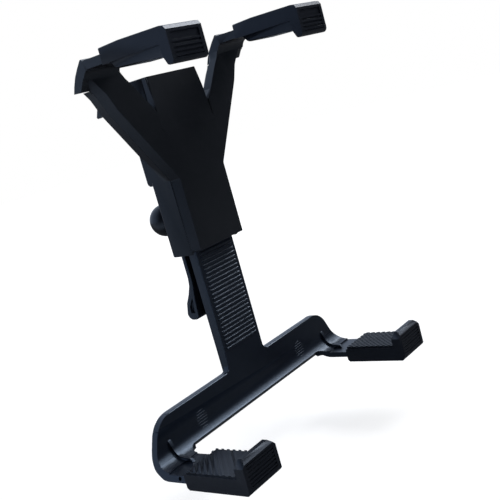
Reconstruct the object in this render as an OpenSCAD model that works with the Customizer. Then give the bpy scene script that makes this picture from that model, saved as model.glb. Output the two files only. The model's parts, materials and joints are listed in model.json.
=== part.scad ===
// Tablet holder: a Y-shaped holder with two fixed upper fingers and a sliding T-shaped lower carriage.
// Millimetres. The origin is the centre of the mounting ball. +Z runs up along the stem, +X is to the
// right as the tablet's user sees it, and the tablet lies in front, towards -Y.

/* [Mounting ball] */
// Diameter of the mounting ball
ball_d = 17; // [12:0.5:25]
// Diameter of the neck between the ball and the rear housing
neck_d = 9.4; // [7.5:0.1:11]
// Distance from the ball's centre to the back wall of the housing
ball_reach = 15.9; // [14:0.1:24]
// Nominal diameter of the countersunk screw that holds the ball
stud_screw_d = 4; // [3:0.5:4]

/* [Leg and sleeve] */
// Width of the leg's front shell
leg_w = 37.2; // [36:0.2:50]
// Lowest point of the leg
leg_bottom = -14.8; // [-18:0.2:-14]
// Highest point of the leg
leg_top = 71.4; // [66:0.2:74]
// Total depth of the sleeve, from the front face to the back wall
sleeve_depth = 18.4; // [17.6:0.1:26]
// Wall thickness of the front shell
front_wall = 3.4; // [2.4:0.1:3.6]
// How far the leg's upper face leans back at its top
leg_lean = 1.8; // [0.4:0.1:2]
// Depth of the front shell, from its face to the joint with the rear housing
front_depth = 5.2; // [4:0.1:6]
// Wall thickness of the rear housing
rear_wall = 2; // [1.4:0.1:2.4]
// How far the upper back stands proud of the lower back
hump_rise = 3.1; // [1:0.1:4]
// Height at which the raised back begins
hump_bottom = 20.4; // [16:0.2:30]

/* [Arms] */
// Height at which the arms leave the leg
waist_z = 21; // [18:0.5:26]
// Height of the notch between the two arms and the leg
notch_z = 55; // [50:0.5:58]
// Distance from the centre plane to the inner side of an upper finger
upper_in = 35.8; // [33:0.2:40]
// Width of an upper finger
upper_w = 22; // [18:0.2:26]
// Height of an upper finger's top face
upper_top = 83.4; // [80:0.2:88]
// Thickness of an upper finger
upper_t = 4; // [3:0.1:5]
// Depth of an arm's back cover
arm_cover_t = 4.7; // [3.6:0.1:6]
// How far the back cover stays behind the arm's inner edge
cover_inset = 3.9; // [0:0.1:5]
// Diameter of the housing screws
case_screw_d = 3; // [2:0.5:3.5]

/* [Sliding carriage] */
// Width of the stem
stem_w = 30; // [24:0.2:31]
// Depth of the stem over its side flanges
stem_t = 5.2; // [4.6:0.1:6]
// Thickness of the stem's web
web_t = 2.6; // [2:0.1:3]
// Distance between two ribs, and between two teeth of the rack
pitch = 2.2; // [1.8:0.1:3]
// Height of a rack tooth
tooth_h = 1.2; // [0.8:0.1:1.4]
// Height of a front rib over the web
rib_h = 0.6; // [0.3:0.1:1]
// Width of the ribbed field on the front of the stem
rib_w = 25; // [18:0.5:25]
// Top of the stem with the holder as shown
stem_top = 40; // [34:1:60]
// Top edge of the crossbar with the holder as shown
bar_top = -79.2; // [-90:0.2:-76]
// Distance from the crossbar's top edge to the centre of its curl
bar_drop = 12.8; // [9:0.1:18]
// Inner radius of the crossbar's curl
curl_r = 8; // [6:0.2:10]
// Wall thickness of the crossbar
bar_t = 2; // [1.6:0.1:2.6]
// Depth of the crossbar over its rim
rim_t = 3.6; // [3:0.1:5]
// Thickness of a lower finger inside its grip
finger_t = 2.8; // [2:0.1:3]
// Width of the straight lip between the two lower fingers
lip_w = 109; // [90:1:114]
// Distance from the centre plane to the inner side of a lower finger
lower_in = 59.6; // [57:0.2:66]
// Width of a lower finger
lower_w = 21.2; // [18:0.2:28]
// Depth of the step between the crossbar's curl and a lower finger
root_step = 0.7; // [0.3:0.1:1.2]
// Travel of the carriage from the pose shown, opening
travel_down = 25; // [10:1:26]

/* [Grips] */
// Length of a lower grip
lower_grip_l = 35.6; // [28:0.2:44]
// Width of a lower grip
lower_grip_w = 23.6; // [22:0.2:32]
// Height of a lower grip's lip over its underside
lower_lip_h = 15.4; // [12:0.2:22]
// Length of an upper grip
upper_grip_l = 39.4; // [30:0.2:46]
// Height of an upper grip over its lip
upper_lip_h = 16.2; // [13:0.2:22]
// Distance from the ball's centre to the back end of the grips
grip_back = 48; // [46:0.2:52]
// Rubber thickness round the finger
grip_wall = 1.4; // [1:0.1:2.4]
// Distance between two ribs of a lower grip's pad
pad_pitch = 2.4; // [1.6:0.1:4]

/* [Release lever] */
// Height of the lever's pin
pin_z = -8.6; // [-9:0.1:-8]
// Diameter of the lever's pin
pin_d = 2.4; // [2:0.1:3]
// Width of the lever's tail
tail_w = 31.2; // [24:0.2:32]
// Lowest point of the lever's tail
tail_bottom = -50.6; // [-60:0.2:-44]
// Thickness of the lever's plate
lever_t = 2.2; // [1.8:0.1:2.4]

/* [Fits] */
// Running clearance of the stem in its guides
slide_gap = 0.2; // [0.1:0.05:0.3]
// Radial clearance of the pin in the lever and of the screws in their holes
pin_gap = 0.05; // [0.03:0.01:0.1]
// Clearance between a grip and the finger inside it
grip_gap = 0.05; // [0.02:0.01:0.1]

/* [Hidden] */
$fn = 48;
eps = 0.01;

shell_col = [0.09, 0.09, 0.1];
gloss_col = [0.11, 0.12, 0.15];
rubber_col = [0.13, 0.14, 0.18];
steel_col = [0.62, 0.63, 0.65];
brass_col = [0.71, 0.56, 0.25];

// Planes of the sleeve, from back to front
back_y = -ball_reach;
back_in_y = back_y - rear_wall;
face_y = back_y - sleeve_depth;
seat_y = face_y + front_depth;
web_front_y = face_y + 6;
web_back_y = web_front_y + web_t;
stem_back_y = web_front_y + stem_t;
leg_half = leg_w / 2;
house_half = leg_half + 0.3;
hump_r = 1.8;
neck_end = ball_reach + 0.8;
insert_l = 7.6;
insert_r = neck_d / 2 - 1.6;
cave_half = leg_half - 1.6;
stem_half = stem_w / 2;

// Arms, upper fingers and their bend
upper_out = upper_in + upper_w;
cover_back_y = seat_y + arm_cover_t;
arm_hi = upper_top - 12.4;
flange_y = cover_back_y - 1;
cover_bottom = waist_z + 13.5;
case_screws = [[leg_half + 8.9, waist_z + 19], [upper_out - 22.2, waist_z + 37]];
lean_z = notch_z - 11;
crease_r = 3.2;
// Edges of the right arm seen from the front
outer_edge = [
    [leg_half, leg_bottom - 2], [leg_half, waist_z], [upper_out - 13, waist_z + 38],
    [upper_out - 9, arm_hi - 4], [upper_out - 4.6, arm_hi + 1.6], [upper_out - 0.6, arm_hi + 5.8]
];
inner_edge = [
    [upper_in, arm_hi + 5.2], [upper_in - 2.2, arm_hi + 1.6], [upper_in - 5.4, arm_hi - 2],
    [leg_half + 4.2, notch_z + 3.8], [leg_half + 0.6, notch_z - 0.8]
];

// Lever
pin_y = back_in_y - 2.6;
barrel_r = 2.2;
coil_r = 2.27;
arm_top = pin_z + 16;
ear_in = 10;
ear_t = 2;
ear_r = 4;

// Carriage
curl_y = web_front_y - curl_r;
curl_z = bar_top - bar_drop;
tongue_top = curl_z - curl_r;
tongue_bottom = tongue_top - rim_t;
finger_top = tongue_top - root_step;
ridge_x = (lower_in + lower_in + lower_w) / 2 - 3.2;
lower_out = lower_in + lower_w;
stop_x = 11;
stop_head_r = 1.8;
stop_z = pin_z + ear_r + stop_head_r + travel_down + 0.4;
lip_angle = 48;
lip_y = curl_y + curl_r * cos(lip_angle);
corner_r = lower_in - lip_w / 2;

// Grips
lower_mid = (lower_in + lower_out) / 2;
upper_mid = (upper_in + upper_out) / 2;
lower_front_y = -grip_back - lower_grip_l;
upper_front_y = -grip_back - upper_grip_l;
lower_grip_bottom = tongue_bottom - 2.4;
upper_grip_top = upper_top + grip_wall + 1.6;

// Extrudes a profile drawn in X and Z from y0 to y1
module along_y(y0, y1) {
    translate([0, y1, 0])
        rotate([90, 0, 0])
            linear_extrude(y1 - y0)
                children();
}

// Extrudes a profile drawn in Y and Z from x0 to x1
module along_x(x0, x1) {
    translate([x0, 0, 0])
        rotate([90, 0, 90])
            linear_extrude(x1 - x0)
                children();
}

// A round bar along Y
module round_y(x, z, r, y0, y1) {
    translate([x, y1, z])
        rotate([90, 0, 0])
            cylinder(r = r, h = y1 - y0);
}

// A round bar along X
module round_x(y, z, r, x0, x1) {
    translate([x0, y, z])
        rotate([0, 90, 0])
            cylinder(r = r, h = x1 - x0);
}

// The children and their mirror image
module both_sides() {
    children();
    mirror([1, 0, 0])
        children();
}

// Points of an arc, from angle a0 to angle a1
function arc(cx, cy, r, a0, a1, n = 12) =
    [for (i = [0:n]) [cx + r * cos(a0 + (a1 - a0) * i / n), cy + r * sin(a0 + (a1 - a0) * i / n)]];

// Outline of the right arm in X and Z. The inner edge can be moved into the arm
module arm_outline(inset = 0) {
    polygon(concat(
        [[6, waist_z - 6], [leg_half, waist_z - 6]],
        [for (i = [1:len(outer_edge) - 1]) outer_edge[i]],
        [for (p = inner_edge) p + inset * [0.8, -0.6]],
        [[6, notch_z - 4]]
    ));
}

// Outline of the hollow inside the right arm
module arm_hollow() {
    polygon([
        [cave_half + 3, waist_z + 6], [upper_out - 15, waist_z + 38],
        [upper_out - 10.6, arm_hi - 5], [upper_in + 1, arm_hi - 5], [leg_half + 5.5, notch_z - 3]
    ]);
}

// Section of an upper finger in Y and Z: the front face, the concave fillet under the finger, the
// finger itself and the bend over its back, with the edge of the flange that closes the back cover
module finger_section(front_y) {
    fillet_r = 5;
    under_z = upper_top - upper_t;
    polygon(concat(
        [[flange_y, arm_hi], [flange_y - 1.8, arm_hi + 3.7], [flange_y - 3.7, arm_hi + 6.6]],
        [[flange_y - 6.5, upper_top - 2.6], [flange_y - 8.9, upper_top - 0.2]],
        [[flange_y - 9.8, upper_top + 0.6], [flange_y - 10.4, upper_top + 0.7]],
        [[flange_y - 10.7, upper_top], [front_y, upper_top], [front_y, under_z]],
        arc(face_y - fillet_r, under_z - fillet_r, fillet_r, 90, 0),
        [[face_y, arm_hi + 5.6], [seat_y - 1, arm_hi]]
    ));
}

// The front shell: leg, arms and the two upper fingers in one moulding
module front_yoke() {
    color(shell_col)
        difference() {
            union() {
                along_y(face_y, seat_y)
                    polygon([
                        [-leg_half, leg_bottom], [leg_half, leg_bottom],
                        [leg_half, leg_top], [-leg_half, leg_top]
                    ]);
                both_sides() {
                    along_y(face_y, seat_y)
                        arm_outline();
                    along_x(upper_in, upper_out)
                        finger_section(-grip_back);
                    along_x(upper_in + grip_wall, upper_out - grip_wall)
                        finger_section(upper_front_y + 4);
                }
            }
            // room for the stem
            translate([-cave_half, face_y + front_wall, leg_bottom - 1])
                cube([2 * cave_half, front_depth, leg_top - leg_bottom + 2]);
            // the leg's upper face leans back, which leaves a crease beside each arm
            along_x(-leg_half - 0.7, leg_half + 0.7)
                polygon([
                    [face_y - 1, lean_z], [face_y, lean_z],
                    [face_y + leg_lean, leg_top + 0.1], [face_y - 1, leg_top + 0.1]
                ]);
            both_sides() {
                // rounded edge of the leg in that crease
                translate([leg_half + 0.7, face_y - crease_r, lean_z])
                    rotate([-atan((crease_r + leg_lean) / (leg_top - lean_z)), 0, 0])
                        linear_extrude(leg_top - lean_z + 6)
                            difference() {
                                translate([-crease_r, -2])
                                    square([crease_r, crease_r + 2]);
                                translate([-crease_r, crease_r])
                                    circle(r = crease_r);
                            }
                // hollow of the arm
                along_y(face_y + front_wall, seat_y + 1)
                    arm_hollow();
                // pilot holes of the housing screws in the solid wall
                for (p = case_screws)
                    round_y(p[0], p[1], case_screw_d / 2 + pin_gap, face_y + 1.2, seat_y + 1);
            }
        }
    color(shell_col)
        both_sides() {
            // guide rails that the stem's front runs on
            translate([stem_half - 1.9, face_y + front_wall - eps, leg_bottom + 1])
                cube([1.6, 6 - front_wall - slide_gap + eps, leg_top - leg_bottom - 2]);
            // bosses round the housing screws
            for (p = case_screws)
                difference() {
                    round_y(p[0], p[1], case_screw_d / 2 + 1.7, face_y + front_wall - eps, seat_y);
                    round_y(p[0], p[1], case_screw_d / 2 + pin_gap, face_y + 1.2, seat_y + 1);
                }
        }
}

// Outline of the sleeve across Z, rounded at the back corners
module sleeve_section(half, back, r) {
    translate([-half, seat_y])
        square([2 * half, back - seat_y - r]);
    translate([-half + r, seat_y])
        square([2 * (half - r), back - seat_y]);
    for (s = [-1, 1])
        translate([s * (half - r), back - r])
            circle(r = r);
}

// The rear housing: sleeve, raised back, arm covers, stem guides and the ears of the lever's pin
module rear_housing() {
    color(shell_col)
        difference() {
            union() {
                translate([0, 0, leg_bottom - 1.6])
                    linear_extrude(leg_top - leg_bottom + 1.6)
                        sleeve_section(house_half, back_y, 1.6);
                // raised back with its rounded lower end
                translate([0, 0, hump_bottom + hump_r])
                    linear_extrude(leg_top - hump_bottom - hump_r)
                        sleeve_section(house_half, back_y + hump_rise, 1.6);
                along_x(-house_half + 1, house_half - 1)
                    polygon(concat(
                        [[back_y - 1, hump_bottom + hump_r + 1], [back_y - 1, hump_bottom]],
                        arc(back_y + hump_rise - hump_r, hump_bottom + hump_r, hump_r, 270, 360, 6),
                        [[back_y + hump_rise, hump_bottom + hump_r + 1]]
                    ));
                both_sides() {
                    difference() {
                        along_y(seat_y, cover_back_y)
                            intersection() {
                                arm_outline(cover_inset);
                                square([upper_out + 1, arm_hi - 0.3]);
                            }
                        // the cover's lower end is a little shallower
                        along_y(cover_back_y - 0.7, cover_back_y + 1)
                            square([upper_out, cover_bottom]);
                    }
                    // wedge-shaped rib across the back of the arm
                    along_x(upper_out - 15.5, upper_out - 13.7)
                        polygon([
                            [cover_back_y - 1, arm_hi - 4.6], [cover_back_y + 1.4, arm_hi - 5.6],
                            [cover_back_y + 4.6, arm_hi - 11.8], [cover_back_y + 3.6, arm_hi - 12.6],
                            [cover_back_y - 1, arm_hi - 12]
                        ]);
                }
            }
            // hollow of the arm covers, with a boss round each screw
            both_sides()
                difference() {
                    along_y(seat_y - 1, cover_back_y - rear_wall)
                        arm_hollow();
                    for (p = case_screws)
                        round_y(p[0], p[1], case_screw_d + 1.4, seat_y - 2, cover_back_y + 1);
                }
            // room for the stem and the lever
            translate([-cave_half, seat_y - 1, leg_bottom - 3])
                cube([2 * cave_half, back_in_y - seat_y + 1, leg_top - leg_bottom + 5]);
            // seat and screw hole of the ball stud
            round_y(0, 0, neck_d / 2 + pin_gap, back_y - 0.8, back_y + 1);
            round_y(0, 0, stud_screw_d / 2 + pin_gap, back_in_y - 1, back_y + 1);
            translate([0, back_in_y - eps, 0])
                rotate([-90, 0, 0])
                    cylinder(r1 = stud_screw_d * 0.9 + pin_gap, r2 = stud_screw_d / 2 + pin_gap, h = 1.2);
            both_sides()
                for (p = case_screws) {
                    round_y(p[0], p[1], case_screw_d / 2 + pin_gap, seat_y - 1, cover_back_y + 6);
                    round_y(p[0], p[1], case_screw_d + pin_gap, cover_back_y - 2, cover_back_y + 6);
                }
        }
    color(shell_col)
        both_sides() {
            // side rails
            translate([stem_half + slide_gap, web_front_y + 0.6, leg_bottom + 1])
                cube([cave_half - stem_half - slide_gap + eps, 2, leg_top - leg_bottom - 2]);
            // back rails, above the lever
            translate([stem_half - 1.9, stem_back_y + slide_gap, arm_top + 1])
                cube([1.6, back_in_y - stem_back_y - slide_gap + eps, leg_top - arm_top - 2]);
            // ear of the lever's pin
            difference() {
                union() {
                    round_x(pin_y, pin_z, ear_r, ear_in, ear_in + ear_t);
                    translate([ear_in, pin_y, pin_z - ear_r])
                        cube([ear_t, back_in_y - pin_y + eps, 2 * ear_r]);
                }
                round_x(pin_y, pin_z, pin_d / 2 + 0.02, ear_in - 1, ear_in + ear_t + 1);
                translate([ear_in - 1, back_in_y + eps, pin_z - ear_r - 1])
                    cube([ear_t + 2, 4, 2 * ear_r + 2]);
            }
        }
}

// Ball and neck, turned in one piece, with a blind hole for the insert and the screw's end
module ball_stud() {
    color(shell_col)
        rotate([90, 0, 0])
            difference() {
                union() {
                    sphere(d = ball_d);
                    cylinder(d = neck_d, h = neck_end - 0.02);
                }
                translate([0, 0, neck_end - 11])
                    cylinder(r = stud_screw_d / 2 + pin_gap, h = 12);
                translate([0, 0, neck_end - insert_l - 0.3])
                    cylinder(r = insert_r, h = 12);
            }
}

// Brass insert in the neck that takes the screw
module stud_insert() {
    color(brass_col)
        rotate([90, 0, 0])
            translate([0, 0, neck_end - insert_l - 0.3 + 0.02])
                difference() {
                    cylinder(r = insert_r - 0.02, h = insert_l);
                    translate([0, 0, -1])
                        cylinder(r = stud_screw_d / 2 + pin_gap, h = insert_l + 2);
                }
}

// Countersunk screw, driven from inside the sleeve
module stud_screw() {
    color(steel_col)
        translate([0, back_in_y, 0])
            rotate([-90, 0, 0])
                difference() {
                    union() {
                        cylinder(r1 = stud_screw_d * 0.9, r2 = stud_screw_d / 2, h = 1.2);
                        cylinder(r = stud_screw_d / 2, h = 11);
                    }
                    cylinder(r = 1.1, h = 1.6, $fn = 6, center = true);
                }
}

// Self-tapping screw of the housing, head to the back
module housing_screw(i) {
    side = i < 2 ? 1 : -1;
    p = case_screws[i % 2];
    color(steel_col)
        difference() {
            union() {
                round_y(side * p[0], p[1], case_screw_d / 2, face_y + 1.4, cover_back_y - 2);
                round_y(side * p[0], p[1], case_screw_d * 0.95, cover_back_y - 2, cover_back_y - 0.3);
            }
            for (a = [0, 90])
                translate([side * p[0], cover_back_y - 0.3, p[1]])
                    rotate([0, a, 0])
                        cube([3.2, 1.6, 0.7], center = true);
        }
}

// Section of the lever in Y and Z: the arm above the pin, and the tail that flares to a thumb pad
module tail_section() {
    plate_back = back_in_y - 0.5;
    tip_y = plate_back + 7.2;
    polygon(concat(
        [[plate_back - lever_t, pin_z - 1], [plate_back - lever_t, tail_bottom + 20]],
        [[plate_back - lever_t + 1.6, tail_bottom + 10], [plate_back - lever_t + 2.2, tail_bottom + 3]],
        arc(plate_back + 2.4, tail_bottom + 2.4, 2.4, 190, 270, 6),
        arc(tip_y - 3.2, tail_bottom + 3.2, 3.2, 270, 372, 8),
        [[tip_y - 1.6, tail_bottom + 9], [tip_y - 4.4, tail_bottom + 13.5]],
        [[plate_back + 0.7, tail_bottom + 18], [plate_back, tail_bottom + 22], [plate_back, pin_z - 1]]
    ));
}

module release_lever() {
    plate_back = back_in_y - 0.5;
    color(gloss_col)
        difference() {
            union() {
                round_x(pin_y, pin_z, barrel_r, -6, 6);
                // arm with the nose that drops into the rack
                along_x(-8.5, 8.5)
                    polygon([
                        [pin_y - 0.8, pin_z], [pin_y - 0.8, arm_top - 1], [pin_y - 0.2, arm_top],
                        [pin_y + 0.5, arm_top], [pin_y + 1.2, pin_z]
                    ]);
                along_x(-5.5, 5.5)
                    polygon([
                        [pin_y - 0.7, pin_z + 11], [web_back_y + tooth_h + 0.35, pin_z + 13.2],
                        [web_back_y + tooth_h + 0.35, pin_z + 14], [pin_y - 0.7, pin_z + 14.6]
                    ]);
                along_x(-8.5, 8.5)
                    polygon([
                        [pin_y - 0.8, pin_z], [pin_y + 1.2, pin_z], [plate_back, pin_z - 4.4],
                        [plate_back, pin_z - 6.4], [plate_back - lever_t, pin_z - 6.4]
                    ]);
                intersection() {
                    along_x(-tail_w / 2, tail_w / 2)
                        tail_section();
                    translate([-tail_w / 2, face_y, tail_bottom - 1])
                        cube([tail_w, 40, pin_z - 5.4 - tail_bottom + 1]);
                }
            }
            round_x(pin_y, pin_z, pin_d / 2 + pin_gap, -10, 10);
            // room for the coils of the spring beside the barrel
            for (x = [-9.5, 6])
                round_x(pin_y, pin_z, coil_r + 0.6, x, x + 3.5);
            for (x = [-9.5, 6])
                translate([x, pin_y - 2, pin_z])
                    cube([3.5, 6, 9.4]);
            // hollow in each side of the thumb pad
            both_sides()
                translate([tail_w / 2 - 1.4, 0, 0])
                    along_x(0, 2)
                        polygon([
                            [plate_back + 0.6, tail_bottom + 12], [plate_back + 1.4, tail_bottom + 3.6],
                            [plate_back + 4.2, tail_bottom + 3.6], [plate_back + 4, tail_bottom + 7]
                        ]);
        }
    // ribs under the thumb
    color(gloss_col)
        for (k = [0:3])
            round_x(plate_back + 6.3 - 1.1 * k, tail_bottom + 5.5 + 2.4 * k, 0.5, -tail_w / 2 + 3, tail_w / 2 - 3);
}

module lever_pin() {
    color(steel_col)
        round_x(pin_y, pin_z, pin_d / 2, -ear_in - ear_t - 0.4, ear_in + ear_t + 0.4);
}

// Torsion spring: close coils round the pin, one leg along the back wall, one hooked behind the
// lever's arm. It is drawn as it lies when the lever is pressed
module lever_spring() {
    wire_r = 0.3;
    coil_x = 6.4;
    turns = 4;
    color(steel_col) {
        translate([coil_x, pin_y, pin_z])
            rotate([0, 90, 0])
                difference() {
                    cylinder(r = coil_r + wire_r, h = 2 * wire_r * turns);
                    translate([0, 0, -1])
                        cylinder(r = coil_r - wire_r, h = 2 * wire_r * turns + 2);
                    for (k = [1:turns - 1])
                        translate([0, 0, 2 * wire_r * k - 0.06])
                            difference() {
                                cylinder(r = coil_r + wire_r + 1, h = 0.12);
                                cylinder(r = coil_r + wire_r - 0.15, h = 0.12);
                            }
                }
        translate([coil_x + 2 * wire_r * turns - 0.31, pin_y + coil_r - 0.01, pin_z])
            cylinder(r = wire_r - 0.02, h = 8);
        translate([coil_x + 0.31, pin_y + coil_r - 0.01, pin_z])
            cylinder(r = wire_r - 0.02, h = 3.6);
        round_x(pin_y + coil_r - 0.01, pin_z + 3.6, wire_r - 0.02, 4.6, coil_x + 0.5);
    }
}

// Comb profile in Y and Z for the ribs of the stem, one rib each pitch
module rib_comb(z0, z1) {
    n = floor((z1 - z0) / pitch);
    for (i = [0:n - 1])
        translate([-rib_w / 2, web_front_y - rib_h, z0 + i * pitch])
            cube([rib_w, rib_h + 0.2, pitch * 0.5]);
}

// Rack of ratchet teeth on the back of the web
module rack(z0, z1) {
    n = floor((z1 - z0) / pitch);
    along_x(-6, 6)
        polygon(concat(
            [[web_back_y - 0.3, z0]],
            [for (i = [0:n - 1]) each [
                [web_back_y, z0 + i * pitch],
                [web_back_y + tooth_h, z0 + (i + 0.15) * pitch],
                [web_back_y + tooth_h, z0 + (i + 0.3) * pitch]
            ]],
            [[web_back_y, z0 + n * pitch], [web_back_y - 0.3, z0 + n * pitch]]
        ));
}

// A layer of the crossbar in Y and Z between two radii, from its top edge round the curl by an angle
module curl_section(turn, inner, outer) {
    polygon(concat(
        [[curl_y + inner, bar_top + 1], [curl_y + inner, curl_z]],
        arc(curl_y, curl_z, inner, 0, -turn, 16),
        arc(curl_y, curl_z, outer, -turn, 0, 16),
        [[curl_y + outer, bar_top + 1]]
    ));
}

// Outline of the crossbar in X and Z, seen from the front: round shoulders and slanted ends
module bar_outline(inset = 0) {
    r = 13;
    mid = lower_out - 19.3;
    end = lower_out - inset;
    polygon(concat(
        arc(-mid, bar_top - r, r - inset, 152, 90, 12),
        arc(mid, bar_top - r, r - inset, 90, 28, 12),
        [[end - 2, curl_z - 6.6], [end, tongue_bottom], [end, tongue_bottom - 4]],
        [[-end, tongue_bottom - 4], [-end, tongue_bottom], [2 - end, curl_z - 6.6]]
    ));
}

// The tray-like crossbar: a wall with a rim round its back
module crossbar() {
    difference() {
        intersection() {
            union() {
                along_x(-lip_w / 2, lip_w / 2)
                    curl_section(lip_angle, curl_r, curl_r + rim_t);
                both_sides()
                    along_x(lower_in, lower_out)
                        curl_section(90, curl_r, curl_r + rim_t);
                // concave corner between the lip and the finger
                both_sides()
                    intersection() {
                        along_x(lip_w / 2 - eps, lower_in + eps)
                            union() {
                                curl_section(90, curl_r, curl_r + bar_t + 0.4);
                                curl_section(lip_angle, curl_r, curl_r + rim_t);
                            }
                        translate([0, 0, tongue_bottom - 1])
                            linear_extrude(bar_top - tongue_bottom + 2)
                                polygon(concat(
                                    [[lip_w / 2 - 1, stem_back_y], [lower_in + 1, stem_back_y]],
                                    [[lower_in + 1, lip_y - corner_r]],
                                    arc(lower_in - corner_r, lip_y - corner_r, corner_r, 0, 90),
                                    [[lip_w / 2 - 1, lip_y]]
                                ));
                    }
                both_sides()
                    translate([lower_in, -grip_back, tongue_bottom])
                        cube([lower_w, curl_y + grip_back + eps, rim_t - root_step]);
            }
            along_y(-grip_back - 1, stem_back_y + 4)
                bar_outline();
        }
        intersection() {
            union() {
                along_x(-lower_in - 2 - eps, lower_in + 2 + eps)
                    curl_section(lip_angle - 11, curl_r + bar_t, curl_r + rim_t + 1);
                both_sides()
                    along_x(lower_in + 2, lower_out - 2)
                        curl_section(90, curl_r + bar_t, curl_r + rim_t + 1);
                both_sides()
                    translate([lower_in + 2, -grip_back + 2, tongue_bottom - 1])
                        cube([lower_w - 4, curl_y + grip_back - 2 + eps, rim_t - bar_t - root_step + 1]);
            }
            along_y(-grip_back - 1, stem_back_y + 4)
                bar_outline(2);
        }
    }
}

// The carriage: ribbed stem with its rack, curled crossbar and the two lower fingers in one moulding
module t_slider() {
    color(gloss_col)
        difference() {
            union() {
                // web and side flanges of the stem
                translate([-stem_half, web_front_y, bar_top - 8])
                    cube([stem_w, web_t, stem_top - bar_top + 8]);
                for (x = [-stem_half, stem_half - 2])
                    translate([x, web_front_y, bar_top - 8])
                        cube([2, stem_t, stem_top - bar_top + 8]);
                rib_comb(bar_top + 10.5, stem_top - 2);
                rack(bar_top + 10.5, stem_top - 2);
                crossbar();
                both_sides() {
                    // finger inside the grip
                    translate([lower_in + grip_wall, lower_front_y + 4, finger_top - finger_t])
                        cube([lower_w - 2 * grip_wall, -grip_back - lower_front_y - 4 + eps, finger_t]);
                    // stiffening ridge in the bend
                    along_x(ridge_x - 0.9, ridge_x + 0.9)
                        polygon(concat(
                            [[curl_y + curl_r + 0.5, curl_z + 2], [curl_y + curl_r - 0.4, curl_z + 1]],
                            arc(curl_y, curl_z, curl_r - 1.4, -12, -90, 12),
                            [[curl_y - 3.2, tongue_top + 1], [curl_y - 4.6, finger_top - 0.3]],
                            arc(curl_y, curl_z, curl_r + 0.5 + root_step, -90, 0, 12)
                        ));
                }
                // fillets where the stem meets the crossbar
                both_sides()
                    along_y(web_front_y, web_front_y + rim_t)
                        polygon(concat(
                            [[stem_half - 0.5, bar_top - 1], [stem_half + 3, bar_top - 1]],
                            [[stem_half + 3, bar_top]],
                            arc(stem_half + 3, bar_top + 3, 3, 270, 180, 6),
                            [[stem_half - 0.5, bar_top + 3]]
                        ));
            }
            both_sides() {
                // holes of the stop screws
                round_y(stop_x, stop_z, 1, web_front_y + 0.6, web_back_y + 1);
                // dimple in the side of the finger's root
                round_x(5 - grip_back, finger_top - 1.2, 0.9, lower_out - 2.8, lower_out + 1);
            }
        }
}

// Pan-head screw whose head stops the carriage at the ears of the lever's pin
module stop_screw(side) {
    color(steel_col) {
        round_y(side * stop_x, stop_z, 0.98, web_front_y + 0.8, web_back_y + eps);
        round_y(side * stop_x, stop_z, stop_head_r, web_back_y + eps, web_back_y + 1.9);
    }
}

// Rubber grip on a lower finger: pad with slanting ribs, lip with a framed ribbed front
module lower_grip() {
    bottom = lower_grip_bottom;
    x0 = lower_mid - lower_grip_w / 2;
    x1 = lower_mid + lower_grip_w / 2;
    pad_top = tongue_top + 2;
    pad_front = lower_front_y + 5;
    pad_l = -grip_back - 0.6 - pad_front;
    lip_top = bottom + lower_lip_h;
    front = lower_front_y;
    panel_bottom = bottom + 2.8;
    panel_top = lip_top - 2.8;
    panel_ribs = 6;
    panel_pitch = (panel_top - panel_bottom) / panel_ribs;
    rib_count = ceil((pad_l + lower_grip_w) / sqrt(8) / pad_pitch);
    color(rubber_col)
        difference() {
            union() {
                along_x(x0, x1)
                    polygon([
                        [-grip_back, bottom + 1], [-grip_back, tongue_top + 1], [-grip_back - 0.4, tongue_top + 1.4],
                        [front + 5, tongue_top + 1.4], [front + 5, lip_top - 3], [front + 4, lip_top],
                        [front + 1.4, lip_top], [front, lip_top - 1.8],
                        [front, bottom + 1], [front + 1, bottom], [-grip_back - 1, bottom]
                    ]);
                // narrower pad
                translate([x0 + 1, pad_front - 1, bottom + 2])
                    cube([lower_grip_w - 2, pad_l + 1, pad_top - bottom - 2]);
            }
            // pocket for the finger
            translate([
                lower_in + grip_wall - grip_gap, lower_front_y + 4 - grip_gap,
                finger_top - finger_t - grip_gap
            ])
                cube([lower_w - 2 * grip_wall + 2 * grip_gap, lower_grip_l, finger_t + 2 * grip_gap]);
            // chamfered upper corners of the lip
            for (s = [-1, 1])
                translate([lower_mid + s * lower_grip_w / 2, front + 3, lip_top])
                    rotate([0, 45, 0])
                        cube([4.4, 12, 4.4], center = true);
            // panel sunk into the front of the lip
            translate([x0 + 2.2, front - 1, panel_bottom])
                cube([lower_grip_w - 4.4, 1.6, panel_top - panel_bottom]);
        }
    color(rubber_col) {
        // slanting ribs of the pad
        intersection() {
            translate([x0 + 1, pad_front - 1, pad_top - eps])
                cube([lower_grip_w - 2, pad_l + 1, 0.5]);
            for (k = [-rib_count:rib_count])
                translate([lower_mid, pad_front + pad_l / 2 + k * pad_pitch * sqrt(2), pad_top])
                    rotate([0, 0, -45])
                        translate([-30, -0.6, -1])
                            cube([60, 1.2, 3]);
        }
        // ridges across the panel
        for (k = [0:panel_ribs - 1])
            translate([x0 + 2.2 - eps, front + 0.05, panel_bottom + (k + 0.3) * panel_pitch])
                cube([lower_grip_w - 4.4 + 2 * eps, 0.7, 0.5 * panel_pitch]);
    }
}

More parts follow.
